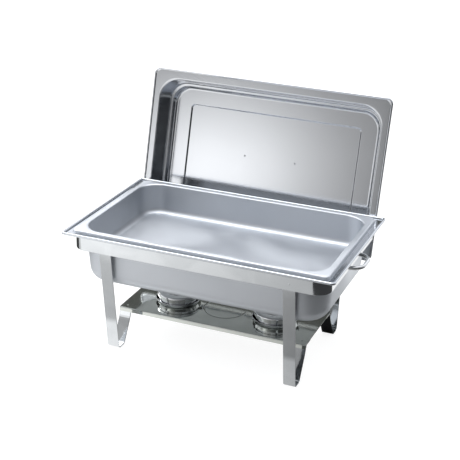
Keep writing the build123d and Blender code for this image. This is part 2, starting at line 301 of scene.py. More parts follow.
def blended(tree, share, first, second):
    # A colour between two, by share.
    made = addNode(tree, "ShaderNodeMix", data_type="RGBA")
    tree.links.new(share, made.inputs[0])
    made.inputs[6].default_value = (*first, 1)
    made.inputs[7].default_value = (*second, 1)
    return made.outputs[2]


def noiseFrom(tree, vector, scale, **settings):
    made = addNode(tree, "ShaderNodeTexNoise")
    tree.links.new(vector, made.inputs["Vector"])
    tree.links.new(scale, made.inputs["Scale"])
    for label, value in settings.items():
        made.inputs[label].default_value = value
    return made.outputs["Fac"]


def makeGrainGroup():
    # Fine polishing grain: noise squeezed along one direction, so that it reads as short scratches.
    group, start, end = newGroup(
        "polishing grain",
        [("Vector", "Vector", None), ("Fineness", "Float", 900.0), ("Direction", "Vector", (1, 1, 1))],
        [("Grain", "Float")])
    squeeze = addNode(group, "ShaderNodeVectorMath", operation="MULTIPLY")
    group.links.new(start.outputs["Vector"], squeeze.inputs[0])
    group.links.new(start.outputs["Direction"], squeeze.inputs[1])
    grain = noiseFrom(group, squeeze.outputs[0], start.outputs["Fineness"], Detail=3.0, Roughness=0.65)
    group.links.new(grain, end.inputs["Grain"])
    return group


def makeSmudgeGroup():
    # Broad cloudy patches, such as wiping leaves on steel, with a few drier ones among them.
    group, start, end = newGroup(
        "wiping marks", [("Vector", "Vector", None), ("Size", "Float", 9.0)], [("Smudge", "Float")])
    broad = noiseFrom(group, start.outputs["Vector"], start.outputs["Size"], Detail=4.0, Distortion=0.6)
    patches = spread(group, broad, 0.0, 1.0, 0.32, 0.68, "SMOOTHSTEP")
    group.links.new(patches, end.inputs["Smudge"])
    return group


def makeDrawGroup(downwards=0.035):
    # Draw marks: streaks that run down a drawn wall and fan out round a corner. The UV map's
    # first coordinate goes round the piece and its second down the wall, where the noise
    # changes much more slowly.
    group, start, end = newGroup(
        "draw marks", [("UV", "Vector", None), ("Closeness", "Float", 120.0)], [("Streak", "Float")])
    squeeze = addNode(group, "ShaderNodeVectorMath", operation="MULTIPLY")
    squeeze.inputs[1].default_value = (1.0, downwards, 1.0)
    group.links.new(start.outputs["UV"], squeeze.inputs[0])
    streak = noiseFrom(group, squeeze.outputs[0], start.outputs["Closeness"], Detail=4.0, Roughness=0.6)
    group.links.new(streak, end.inputs["Streak"])
    return group


groups = {"grain": makeGrainGroup(), "smudge": makeSmudgeGroup(), "draw": makeDrawGroup()}
# how far smudges change the roughness, and the shares of smudges and streaks in a drawn wall's tone
wear = {"smudgeRoughness": 0.18, "smudgeTone": 0.6, "streakTone": 0.5}
print("shared groups made")


def steel(name, look):
    # Steel whose roughness, tone and relief come from the shared groups by the amounts in look.
    material = bpy.data.materials.new(name)
    material.use_nodes = True
    tree = material.node_tree
    shader = tree.nodes["Principled BSDF"]
    shader.inputs["Metallic"].default_value = 1.0
    coordinates = addNode(tree, "ShaderNodeTexCoord")
    grain = addNode(tree, "ShaderNodeGroup", node_tree=groups["grain"])
    grain.inputs["Fineness"].default_value = look["fineness"]
    grain.inputs["Direction"].default_value = look["grainDirection"]
    tree.links.new(coordinates.outputs["Object"], grain.inputs["Vector"])
    smudge = addNode(tree, "ShaderNodeGroup", node_tree=groups["smudge"])
    smudge.inputs["Size"].default_value = look["smudgeSize"]
    tree.links.new(coordinates.outputs["Object"], smudge.inputs["Vector"])
    least, most = (look["roughness"] * (1 + sign * wear["smudgeRoughness"]) for sign in (-1, 1))
    roughness = spread(tree, smudge.outputs["Smudge"], least, most)
    shine = spread(tree, grain.outputs["Grain"], 1 - look["grainRoughness"], 1 + look["grainRoughness"])
    roughness = computed(tree, "MULTIPLY", roughness, shine)
    if look.get("polishedRoughness"):
        polished = addNode(tree, "ShaderNodeAttribute", attribute_name="polished").outputs["Fac"]
        keep = spread(tree, polished, 1.0, look["polishedRoughness"] / look["roughness"])
        roughness = computed(tree, "MULTIPLY", roughness, keep)
    height = computed(tree, "MULTIPLY", grain.outputs["Grain"], look["grainRelief"])
    tone = smudge.outputs["Smudge"]
    if look.get("drawRelief"):
        draw = addNode(tree, "ShaderNodeGroup", node_tree=groups["draw"])
        draw.inputs["Closeness"].default_value = look["drawCloseness"]
        tree.links.new(coordinates.outputs["UV"], draw.inputs["UV"])
        mask = addNode(tree, "ShaderNodeAttribute", attribute_name="drawn").outputs["Fac"]
        streak = computed(tree, "MULTIPLY", draw.outputs["Streak"], mask)
        height = computed(tree, "ADD", height, computed(tree, "MULTIPLY", streak, look["drawRelief"]))
        roughness = computed(tree, "ADD", roughness,
                             computed(tree, "MULTIPLY", streak, look["drawRoughness"]))
        tone = computed(tree, "ADD", computed(tree, "MULTIPLY", tone, wear["smudgeTone"]),
                      computed(tree, "MULTIPLY", streak, wear["streakTone"]))
    tree.links.new(roughness, shader.inputs["Roughness"])
    tree.links.new(blended(tree, tone, look["dark"], look["light"]), shader.inputs["Base Color"])
    bump = addNode(tree, "ShaderNodeBump")
    bump.inputs["Distance"].default_value = 1.0
    tree.links.new(height, bump.inputs["Height"])
    tree.links.new(bump.outputs["Normal"], shader.inputs["Normal"])
    return material


satinLook = {
    "light": (0.625, 0.65, 0.685), "dark": (0.575, 0.60, 0.635), "roughness": 0.46,
    "fineness": 1400.0, "grainDirection": (1.0, 1.0, 1.0), "grainRoughness": 0.10,
    "grainRelief": 0.000012, "smudgeSize": 7.0,
    "drawRelief": 0.00010, "drawCloseness": 90.0, "drawRoughness": 0.06,
}
panLook = dict(satinLook, polishedRoughness=0.07)
lidLook = {
    "light": (0.63, 0.645, 0.67), "dark": (0.58, 0.595, 0.62), "roughness": 0.14,
    "fineness": 1300.0, "grainDirection": (0.12, 1.0, 1.0), "grainRoughness": 0.10,
    "grainRelief": 0.000003, "smudgeSize": 5.0,
    "drawRelief": 0.00012, "drawCloseness": 75.0, "drawRoughness": 0.10,
}
strapLook = {
    "light": (0.62, 0.64, 0.655), "dark": (0.56, 0.58, 0.595), "roughness": 0.09,
    "fineness": 1500.0, "grainDirection": (1.0, 1.0, 0.08), "grainRoughness": 0.14,
    "grainRelief": 0.000006, "smudgeSize": 14.0,
}
railLook = dict(strapLook, grainDirection=(0.06, 1.0, 1.0), roughness=0.08)
shelfLook = {
    "light": (0.57, 0.59, 0.56), "dark": (0.51, 0.53, 0.50), "roughness": 0.06,
    "fineness": 1500.0, "grainDirection": (0.08, 1.0, 1.0), "grainRoughness": 0.14,
    "grainRelief": 0.000002, "smudgeSize": 10.0,
}
chromeLook = {
    "light": (0.74, 0.75, 0.76), "dark": (0.69, 0.70, 0.71), "roughness": 0.05,
    "fineness": 1500.0, "grainDirection": (1.0, 1.0, 0.2), "grainRoughness": 0.14,
    "grainRelief": 0.000002, "smudgeSize": 25.0,
}
satinSteel = steel("satin steel", satinLook)
panSteel = steel("pan steel", panLook)
lidSteel = steel("lid steel", lidLook)
strapSteel = steel("strap steel", strapLook)
railSteel = steel("rail steel", railLook)
shelfSteel = steel("shelf steel", shelfLook)
chromeSteel = steel("chrome steel", chromeLook)
print("finishes made")


# ---- food pan

# topFade and bottomFade: how far from the rim and from the floor a wall's draw marks set in
foodPan = {
    "flange": 0.0126, "corner": 0.012, "openingCorner": 0.045, "depth": 0.065, "draft": 4.0,
    "bottomRadius": 0.013, "sheet": 0.001, "lip": 0.0077, "edgeRadius": 0.003, "mouthRadius": 0.003,
    "floorReach": 1.25, "topFade": 0.008, "bottomFade": 0.02,
}


def makeFoodPan():
    s, box = foodPan, boxOf("food_pan")
    halfLength, halfWidth = box["half"][:2]
    top = box["high"][2]
    t = s["sheet"]
    flange = s["flange"]
    shrink = s["depth"] * tan(radians(s["draft"]))
    deep = flange + s["openingCorner"]
    knots = [(0, halfLength, halfWidth, s["corner"]),
             (flange, halfLength - flange, halfWidth - flange, s["openingCorner"]),
             (deep, halfLength - deep, halfWidth - deep, 0.0)]
    floorInset = flange + shrink + s["bottomRadius"] * s["floorReach"]
    inside = roundedLine(
        [(floorInset, top - s["depth"]), (flange + shrink, top - s["depth"]), (flange, top),
         (0, top), (0, top - s["lip"])],
        [s["bottomRadius"], s["mouthRadius"], s["edgeRadius"]])
    outside = roundedLine(
        [(t, top - s["lip"]), (t, top - t), (flange - t, top - t),
         (flange - t + shrink, top - s["depth"] - t), (floorInset, top - s["depth"] - t)],
        [s["edgeRadius"] - t, s["mouthRadius"] - t, s["bottomRadius"] + t])
    profile = np.concatenate([inside, outside])
    grid = roundedRings(profile, knots)
    grid[..., :2] += box["middle"][:2]
    drop = top - profile[:, 1]
    wall = np.clip(drop / s["topFade"], 0, 1) * np.clip((s["depth"] - drop) / s["bottomFade"], 0, 1)
    drawn = np.broadcast_to(wall[:, None], grid.shape[:2])
    return skin("food_pan_drawn", grid, masks={"drawn": drawn})


standsFor(makeFoodPan(), "food_pan", "satin_steel", satinSteel, "food_pan")


# ---- water pan

waterPan = {
    "corner": 0.009, "bead": 0.0057, "dip": 0.0035, "recess": 0.0015, "recessLength": 0.534,
    "recessWidth": 0.329, "recessCorner": 0.014, "length": 0.520, "width": 0.310, "panCorner": 0.056,
    "depth": 0.1078, "draft": 4.5, "bottomRadius": 0.028, "sheet": 0.001, "rimInside": 0.0005,
    "mouthRadius": 0.002, "recessRadius": 0.0004, "underRadius": 0.0008, "floorReach": 1.1,
    "rollFrom": -12, "rollTo": 250, "topFade": 0.01, "bottomFade": 0.03, "polishedTo": 0.022,
    "polishFade": 0.004, "polishDrop": 0.002,
}


def makeWaterPan():
    # The insets run from the rolled edge over the flat rim and the food pan's recess to the mouth.
    s, box = waterPan, boxOf("water_pan")
    halfLength, halfWidth = box["half"][:2]
    top = box["high"][2]
    t = s["sheet"]
    flat = top - s["dip"]
    floor = flat - s["recess"]
    shrink = s["depth"] * tan(radians(s["draft"]))
    bead = s["bead"]
    recess = halfLength - s["recessLength"] / 2
    mouth = halfLength - s["length"] / 2
    bottom = mouth + s["panCorner"]
    knots = [(0, halfLength, halfWidth, s["corner"]),
             (bead, halfLength - bead, halfWidth - bead, s["corner"] - bead),
             (recess, s["recessLength"] / 2, s["recessWidth"] / 2, s["recessCorner"]),
             (mouth, s["length"] / 2, s["width"] / 2, s["panCorner"]),
             (bottom, s["length"] / 2 - s["panCorner"], s["width"] / 2 - s["panCorner"], 0.0)]
    floorInset = mouth + shrink + s["bottomRadius"] * s["floorReach"]
    # the rolled edge is most of a circle, from the flat of the rim, over the top and round outside
    around = np.radians(np.linspace(s["rollFrom"], s["rollTo"], 27))
    roll = bead / 2 * np.stack([1 + np.cos(around), np.sin(around) - 1], -1) + [0, top]
    inside = roundedLine(
        [(floorInset, floor - s["depth"] + t), (mouth + t + shrink, floor - s["depth"] + t),
         (mouth + t, floor), (recess, floor), (recess, flat), (roll[0, 0], flat)],
        [s["bottomRadius"] - t, s["mouthRadius"], s["recessRadius"], s["rimInside"]])
    outside = roundedLine(
        [(roll[0, 0], flat - t), (recess - t, flat - t), (recess - t, floor - t),
         (mouth, floor - t), (mouth + shrink, floor - s["depth"]), (floorInset, floor - s["depth"])],
        [s["recessRadius"], s["underRadius"], s["underRadius"], s["bottomRadius"]])
    profile = np.concatenate([inside, roll, outside])
    grid = roundedRings(profile, knots)
    grid[..., :2] += box["middle"][:2]
    drop = floor - profile[:, 1]
    wall = np.clip(drop / s["topFade"], 0, 1) * np.clip((s["depth"] - drop) / s["bottomFade"], 0, 1)
    rim = np.clip((s["polishedTo"] - profile[:, 0]) / s["polishFade"], 0, 1)
    rim = rim * np.clip(1 - drop / s["polishDrop"], 0, 1)
    masks = {"drawn": wall, "polished": rim}
    masks = {key: np.broadcast_to(value[:, None], grid.shape[:2]) for key, value in masks.items()}
    return skin("water_pan_drawn", grid, masks=masks)


standsFor(makeWaterPan(), "water_pan", "satin_steel", panSteel, "water_pan")
print("pans made")


# ---- stand

rail = {"corner": 0.030, "thickness": 0.002, "edge": 0.0005, "innerKnot": 0.02}
railBox, shelfBox = boxOf("top_rail"), boxOf("fuel_shelf")
railBottom = railBox["low"][2]


def makeRail():
    t, inner, middle = rail["thickness"], rail["innerKnot"], railBox["middle"]
    halfLength, halfWidth = railBox["half"][:2]
    knots = [(0, halfLength, halfWidth, rail["corner"]),
             (inner, halfLength - inner, halfWidth - inner, rail["corner"] - inner)]
    section = plateSection(t, railBox["high"][2] - railBottom, rail["edge"]) + [t / 2, middle[2]]
    grid = roundedRings(section, knots, cornerSteps=24)
    grid[..., :2] += middle[:2]
    return skin("top_rail_band", grid, closedRows=True)


standsFor(makeRail(), "stand", "polished_steel", railSteel, "top_rail")

legStrap = {
    "x": 0.1915, "width": 0.025, "thickness": 0.002, "edge": 0.0005, "lap": 0.025, "lean": 7.53,
    "footSpan": 0.0234, "footBend": 0.008, "topBend": 0.025, "kneeY": 0.084, "kneeHeight": 0.046,
    "kneeBend": 0.060, "shelfBend": 0.005, "shelfLap": 0.024, "shelfGap": 0.004,
}
shelf = {
    "sheet": 0.0012, "flange": 0.009, "edgeRadius": 0.002, "ringRadius": 0.0447, "ringWidth": 0.0026,
    "ringHeight": 0.0006, "ringZone": 0.049, "ringLines": 110, "endLines": 12,
}
shelfTop = shelfBox["low"][2] + shelf["flange"]


def legFace(height):
    # The strap's outer face leans inwards towards its foot, from the rail's inner face.
    reach = railBox["half"][1] - rail["thickness"]
    return reach - (railBottom - height) * tan(radians(legStrap["lean"]))


def legPath(sideY):
    s = legStrap
    middle = s["thickness"] / 2
    top, foot = legFace(railBottom) - middle, legFace(0) - middle
    under = shelfTop - shelf["sheet"] - middle
    shelfY = shelfBox["half"][1] - shelf["sheet"] - s["shelfGap"] - middle
    corners = [(top, railBottom + s["lap"]), (top, railBottom), (foot, middle),
               (foot - s["footSpan"], middle), (s["kneeY"], s["kneeHeight"]), (shelfY, under),
               (shelfY - s["shelfLap"], under)]
    radii = [s["topBend"], s["footBend"], s["footBend"], s["kneeBend"], s["shelfBend"]]
    return roundedLine([(0, sideY * y, z) for y, z in corners], radii, degreesPerStep=5.0)


def makeLeg(name, sideX, sideY):
    s = legStrap
    section = plateSection(s["width"], s["thickness"], s["edge"])
    grid = carried(legPath(sideY), section, (1, 0, 0)) + [sideX * s["x"], 0, 0]
    return skin(name + "_strap", placedLike(grid, name))


for sideX, sideName in ((-1, "left"), (1, "right")):
    for sideY, endName in ((-1, "front"), (1, "rear")):
        legName = "leg_" + endName + "_" + sideName
        standsFor(makeLeg(legName, sideX, sideY), "stand", "polished_steel", strapSteel, legName)


def makeShelf():
    s = shelf
    halfLength, halfWidth = shelfBox["half"][:2]
    bottom, top, t, zone = shelfBox["low"][2], shelfTop, s["sheet"], s["ringZone"]
    outer = roundedLine([(-halfWidth, bottom), (-halfWidth, top), (halfWidth, top), (halfWidth, bottom)],
                        [s["edgeRadius"]] * 2)
    inner = roundedLine([(halfWidth - t, bottom), (halfWidth - t, top - t), (t - halfWidth, top - t),
                         (t - halfWidth, bottom)], [s["edgeRadius"] - t] * 2)
    # the lines are close together only where the ring is
    across = np.linspace(-zone, zone, s["ringLines"])
    middle = len(outer) // 2
    flat = np.stack([across, np.full_like(across, top)], -1)
    profile = np.concatenate([outer[:middle], flat, outer[middle:], inner])
    left = np.linspace(-halfLength, -zone, s["endLines"])[:-1]
    right = np.linspace(zone, halfLength, s["endLines"])[1:]
    x = np.concatenate([left, across, right])
    grid = np.zeros((len(x), len(profile), 3))
    grid[..., 0] = x[:, None]
    grid[..., 1:] = profile[None]
    # the pressed ring: its height falls off as a cosine across its width
    away = np.abs(np.hypot(grid[..., 0], grid[..., 1]) - s["ringRadius"]) / (s["ringWidth"] / 2)
    raised = (1 + np.cos(pi * np.clip(away, 0, 1))) / 2 * s["ringHeight"]
    grid[..., 2] += np.where(grid[..., 2] > top - t / 2, raised, 0)
    return skin("fuel_shelf_channel", placedLike(grid, "fuel_shelf"))


standsFor(makeShelf(), "stand", "mirror_steel", shelfSteel, "fuel_shelf")

welds = {"shelfY": 0.068, "railUp": 0.013, "railRadius": 0.0018, "railHeight": 0.0002}


def makeStandMarks():
    # one mark on the shelf over each strap's end, and one on the rail in front of each front leg
    s, x = welds, legStrap["x"]
    middleX, middleY = railBox["middle"][:2]
    onShelf = [(middleX + sideX * x, middleY + sideY * s["shelfY"], shelfTop)
               for sideX in (-1, 1) for sideY in (-1, 1)]
    onRail = [(sideX * x, railBox["low"][1], railBottom + s["railUp"]) for sideX in (-1, 1)]
    return (weldMarks("shelf_weld_marks", onShelf, (0, 0, 1), (1, 0, 0)),
            weldMarks("rail_weld_marks", onRail, (0, -1, 0), (1, 0, 0), s["railRadius"], s["railHeight"]))


shelfMarks, railMarks = makeStandMarks()
rides(shelfMarks, "stand", shelfSteel)
rides(railMarks, "stand", railSteel)

carryHandle = {"rod": 0.008, "span": 0.070, "reach": 0.030, "bend": 0.024}


def makeCarryHandle(name, side):
    s = carryHandle
    far = side * (s["reach"] - s["rod"] / 2)
    half = s["span"] / 2
    corners = [(0, -half, 0), (far, -half, 0), (far, half, 0), (0, half, 0)]
    path = roundedLine(corners, [s["bend"]] * 2, degreesPerStep=6.0)
    grid = carried(path, roundSection(s["rod"] / 2), (0, 0, 1))
    return skin(name + "_rod", placedLike(grid, name))


for sideX, sideName in ((-1, "left"), (1, "right")):
    name = "carry_handle_" + sideName
    standsFor(makeCarryHandle(name, sideX), "stand", "chrome_rod", chromeSteel, name)

lidClip = {"tab": 0.027, "mouth": 0.019, "lip": 0.015, "bend": 0.0026, "tilt": 13.6, "lift": 0.00023}


def makeLidClip(name):
    s = lidClip
    middle = legStrap["thickness"] / 2
    out = middle / cos(radians(legStrap["lean"]))
    floor = boxOf(name)["low"][2] + s["tab"] + s["lift"]
    lipY = legFace(floor) + s["mouth"] + middle
    rise, run = s["lip"] * cos(radians(s["tilt"])), s["lip"] * sin(radians(s["tilt"]))
    corners = [(legFace(floor - s["tab"]) + out, floor - s["tab"]),
               (legFace(floor - middle) + out, floor - middle),
               (lipY, floor - middle), (lipY + run, floor - middle + rise)]
    path = roundedLine([(0, y, z) for y, z in corners], [s["bend"]] * 2)
    section = plateSection(legStrap["width"], legStrap["thickness"], legStrap["edge"])
    return skin(name + "_strap", placedLike(carried(path, section, (1, 0, 0)), name))


for sideName in ("left", "right"):
    name = "lid_clip_" + sideName
    standsFor(makeLidClip(name), "stand", "polished_steel", strapSteel, name)
print("stand made")


# ---- lid

lid = {
    "length": 0.546, "width": 0.3424, "corner": 0.014, "sheet": 0.001, "bead": 0.005, "beadFront": 0.00133,
    "mouthLength": 0.510, "mouthWidth": 0.300, "mouthCorner": 0.048, "mouthRadius": 0.0022,
    "lowerDepth": 0.043, "lowerDraft": 11.0, "shoulder": 0.005, "depth": 0.055, "upperDraft": 18.0,
    "crownRadius": 0.006, "panelLength": 0.400, "panelWidth": 0.197, "panelCorner": 0.010,
    "panelStep": 0.002, "stepSlope": 1.6, "stepRadius": 0.0009, "shoulderRadius": 0.002,
    "panelMiddle": 0.9, "innerCorner": 0.001, "curlFrom": 60, "curlTo": 330, "tilt": 13.6, "turn": -1.46,
    "flangeFade": 0.004, "flangeDepth": 0.012, "wallFade": 0.012, "wallMarks": 0.6, "weldRadius": 0.0026,
}
grip = {
    "width": 0.020, "thickness": 0.002, "edge": 0.0006, "spacing": 0.118, "foot": 0.018,
    "height": 0.030, "lean": 0.006, "bend": 0.005,
}


def standing(grid):
    # Stands the lid on its long edge: it turns back about X, then a little about Z.
    a, b = radians(-90 - lid["tilt"]), radians(lid["turn"])
    aboutX = np.array([[1, 0, 0], [0, cos(a), -sin(a)], [0, sin(a), cos(a)]])
    aboutZ = np.array([[cos(b), -sin(b), 0], [sin(b), cos(b), 0], [0, 0, 1]])
    return grid @ (aboutZ @ aboutX).T


def makeLidShell():
    # Profile points are (inset from the lid's edge, depth from its flange); the insets are those of
    # the mouth, the wall's foot, the shoulder, the crown and the rectangle pressed outwards in it.
    s = lid
    t = s["sheet"]
    halfLength, halfWidth = s["length"] / 2, s["width"] / 2
    mouth = (s["length"] - s["mouthLength"]) / 2
    lower = mouth + s["lowerDepth"] * tan(radians(s["lowerDraft"]))
    upper = lower + s["shoulder"]
    crown = upper + (s["depth"] - s["lowerDepth"]) * tan(radians(s["upperDraft"]))
    panel = (s["length"] - s["panelLength"]) / 2
    half = (s["mouthLength"] / 2, s["mouthWidth"] / 2)
    knots = [(0, halfLength, halfWidth, s["corner"]),
             (s["bead"], halfLength - s["bead"], halfWidth - s["bead"], s["corner"] - s["bead"] / 2),
             (mouth, *half, s["mouthCorner"]),
             (lower, *(size - (lower - mouth) for size in (*half, s["mouthCorner"]))),
             (crown, *(size - (crown - mouth) for size in half),
              s["mouthCorner"] - (upper - mouth) / 2 - (crown - upper)),
             (panel, s["panelLength"] / 2, s["panelWidth"] / 2, s["panelCorner"]),
             (panel + s["panelCorner"], s["panelLength"] / 2 - s["panelCorner"],
              s["panelWidth"] / 2 - s["panelCorner"], s["innerCorner"])]
    step = s["panelStep"]
    slope = s["stepSlope"] * step
    deep, raised = s["depth"], s["depth"] + step
    centre = panel + s["panelCorner"] * s["panelMiddle"]
    bead = s["bead"]
    front = s["beadFront"]
    inside = roundedLine(
        [(centre, raised), (panel + slope, raised), (panel, deep), (crown, deep),
         (upper, s["lowerDepth"]), (lower, s["lowerDepth"]), (mouth, 0), (bead, 0)],
        [s["stepRadius"], s["stepRadius"], s["crownRadius"], s["shoulderRadius"], s["shoulder"] / 2,
         s["mouthRadius"]])
    around = np.radians(np.linspace(s["curlFrom"], s["curlTo"], 15))
    curl = bead / 2 * np.stack([1 + np.cos(around), 1 - np.sin(around)], -1) - [0, front]
    outside = roundedLine(
        [(bead, t), (mouth - t, t), (lower - t, s["lowerDepth"] + t), (upper - t, s["lowerDepth"] + t),
         (crown - t, deep + t), (panel - t, deep + t), (panel - t + slope, raised + t),
         (centre, raised + t)],
        [s["mouthRadius"] + t, s["shoulder"] / 2, s["shoulderRadius"], s["crownRadius"] + t,
         s["stepRadius"], s["stepRadius"]])
    profile = np.concatenate([inside, curl, outside])
    grid = roundedRings(profile, knots, cornerSteps=20, sideSteps=8)
    inset, height = profile.T
    flange = np.clip((inset - bead) / s["flangeFade"], 0, 1) * np.clip(1 - height / s["flangeDepth"], 0, 1)
    wall = np.clip((deep - height) / s["wallFade"], 0, 1) * s["wallMarks"] * (inset > mouth)
    drawn = np.broadcast_to(np.maximum(flange, wall)[:, None], grid.shape[:2])
    stood = standing(grid)
    placed = placedLike(stood, "lid_shell")
    marks = standing(np.array([(-grip["spacing"] / 2, 0, raised), (grip["spacing"] / 2, 0, raised)]))
    marks += placed[0, 0] - stood[0, 0]
    outward, across = standing(np.array([(0.0, 0.0, -1.0), (1.0, 0.0, 0.0)]))
    return (skin("lid_shell_drawn", placed, masks={"drawn": drawn}),
            weldMarks("lid_weld_marks", marks, outward, across, radius=s["weldRadius"]))


lidShell, lidMarks = makeLidShell()
standsFor(lidShell, "lid", "satin_steel", lidSteel, "lid_shell")
rides(lidMarks, "lid", lidSteel)


def makeLidHandle():
    s = grip
    middle = s["thickness"] / 2
    outer, inner = (s["spacing"] + s["foot"]) / 2, (s["spacing"] - s["foot"]) / 2
    top = s["height"] - middle
    corners = [(-outer, 0, middle), (-inner, 0, middle), (s["lean"] - inner, 0, top),
               (inner - s["lean"], 0, top), (inner, 0, middle), (outer, 0, middle)]
    path = roundedLine(corners, [s["bend"]] * 4, degreesPerStep=6.0)
    grid = carried(path, plateSection(s["width"], s["thickness"], s["edge"]), (0, 1, 0))
    return skin("lid_handle_strap", placedLike(standing(grid), "lid_handle"))


standsFor(makeLidHandle(), "lid", "polished_steel", strapSteel, "lid_handle")
print("lid made")


# ---- burners

# the rounds are shares of the sheet's thickness
burner = {
    "saucerFoot": 0.0445, "sheet": 0.001, "footBend": 0.0035, "cupRadius": 0.043, "cupHeight": 0.020,
    "coverSheet": 0.0012, "coverBend": 0.0032, "skirt": 0.0065, "opening": 0.023, "gap": 0.0003,
    "innermost": 0.001, "saucerRound": 0.45, "cupRound": 0.3, "coverRound": 0.4, "cupBend": 2,
    "openingRadius": 0.0004, "seam": 0.0001, "degreesPerStep": 12.0, "joinedWithin": 0.00002,
}


def makeSaucer(name):
    s = burner
    r, _, halfHeight = boxOf(name)["half"]
    h = halfHeight * 2
    foot, t, bend, start = s["saucerFoot"], s["sheet"], s["footBend"], s["innermost"]
    rounding = t * s["saucerRound"]
    corners = [(start, 0), (foot, 0), (r, h), (r - t, h), (foot - t, t), (start, t)]
    profile = roundedLine(corners, [bend, rounding, rounding, bend - t], s["degreesPerStep"])
    return skin(name + "_spun", placedLike(turned(profile), name))


def makeCup(name):
    s = burner
    r, h, t, start = s["cupRadius"], s["cupHeight"], s["sheet"], s["innermost"]
    rounding = t * s["cupRound"]
    corners = [(start, 0), (r, 0), (r, h), (r - t, h), (r - t, t), (start, t)]
    profile = roundedLine(corners, [t * s["cupBend"], rounding, rounding, t], s["degreesPerStep"])
    return skin(name + "_spun", placedLike(turned(profile), name))


def makeCover(name):
    # a flat ring whose edge turns down outside the cup, closed at a seam in the opening's wall
    s = burner
    t, bend, hole = s["coverSheet"], s["coverBend"], s["opening"]
    inner = s["cupRadius"] + s["gap"]
    outer = inner + t
    rounding = t * s["coverRound"]
    corners = [(hole, 0), (inner, 0), (inner, -s["skirt"]), (outer, -s["skirt"]), (outer, t), (hole, t),
               (hole, s["seam"])]
    profile = roundedLine(corners, [bend - t, rounding, rounding, bend, s["openingRadius"]],
                          s["degreesPerStep"])
    return skin(name + "_pressed", placedLike(turned(profile), name), closedRows=True)


for sideName in ("left", "right"):
    for maker, part, body in ((makeSaucer, "burner_saucer_", "burner_"),
                              (makeCup, "burner_cup_", "burner_"),
                              (makeCover, "burner_cover_", "burner_cover_")):
        standsFor(maker(part + sideName), body + sideName, "mirror_steel", chromeSteel, part + sideName)
    for part in ("burner_shutter_", "shutter_pivot_"):
        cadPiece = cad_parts[part + sideName]
        cadPiece.data.materials.clear()
        cadPiece.data.materials.append(chromeSteel)
        joined = cadPiece.modifiers.new("joined corners", "WELD")
        joined.merge_threshold = burner["joinedWithin"]
print("burners made")


# ---- studio

studio = {
    "lens": 86.73, "place": (0.7739, -1.9790, 1.0953), "azimuth": 21.8, "elevation": 22.32, "roll": 1.45,
    "sensor": 36, "clipEnd": 100, "floor": 30.0, "floorColour": (0.50, 0.50, 0.48),
    "seenColour": (0.25, 0.25, 0.25), "seenGlow": 0.88, "floorRoughness": 0.8,
    "airBright": (1.28, 1.30, 1.35), "airDark": (0.035, 0.037, 0.04), "airTowards": (-0.55, 0.55, 0.63),
    "airEdge": 0.75, "aim": (0, 0, 0.2),
}
lightBoxes = {
    "top box": {"place": (-0.6, 0.3, 2.6), "size": (2.2, 2.0), "radiance": 2.6},
    "side box": {"place": (-2.3, 0.9, 1.9), "size": (1.4, 1.4), "radiance": 5.0},
}


def linked(name, data):
    made = bpy.data.objects.new(name, data)
    bpy.context.scene.collection.objects.link(made)
    return made


def makeCamera():
    s = studio
    az, el, roll = (radians(s[k]) for k in ("azimuth", "elevation", "roll"))
    ahead = Vector((-sin(az) * cos(el), cos(az) * cos(el), -sin(el)))
    level = Vector((cos(az), sin(az), 0))
    upright = Vector((-sin(az) * sin(el), cos(az) * sin(el), cos(el)))
    right = cos(roll) * level + sin(roll) * upright
    up = -sin(roll) * level + cos(roll) * upright
    data = bpy.data.cameras.new("camera")
    data.lens, data.sensor_width = s["lens"], s["sensor"]
    data.clip_end = s["clipEnd"]
    camera = linked("camera", data)
    turn = Matrix((right, up, -ahead)).transposed().to_4x4()
    camera.matrix_world = Matrix.Translation(s["place"]) @ turn
    bpy.context.scene.camera = camera


def softbox(name, place, size, radiance):
    # an area light's watts are pi times its radiance times its area
    data = bpy.data.lights.new(name, "AREA")
    data.shape = "RECTANGLE"
    data.size, data.size_y = size
    data.energy = radiance * pi * size[0] * size[1]
    box = linked(name, data)
    turn = (Vector(studio["aim"]) - Vector(place)).to_track_quat("-Z", "Y").to_matrix().to_4x4()
    box.matrix_world = Matrix.Translation(place) @ turn
    box.visible_camera = False


def makeAir():
    # the room's light: bright towards one side and above, dark on the other side
    s = studio
    world = bpy.data.worlds.new("air")
    bpy.context.scene.world = world
    world.use_nodes = True
    tree = world.node_tree
    facing = addNode(tree, "ShaderNodeVectorMath", operation="DOT_PRODUCT")
    facing.inputs[1].default_value = Vector(s["airTowards"]).normalized()
    tree.links.new(addNode(tree, "ShaderNodeTexCoord").outputs["Generated"], facing.inputs[0])
    share = spread(tree, facing.outputs["Value"], 0.0, 1.0, -s["airEdge"], s["airEdge"], "SMOOTHSTEP")
    colour = blended(tree, share, s["airDark"], s["airBright"])
    tree.links.new(colour, tree.nodes["Background"].inputs["Color"])


def plainMaterial(name, colour, roughness):
    material = bpy.data.materials.new(name)
    material.use_nodes = True
    shader = material.node_tree.nodes["Principled BSDF"]
    shader.inputs["Base Color"].default_value = (*colour, 1)
    shader.inputs["Roughness"].default_value = roughness
    return material


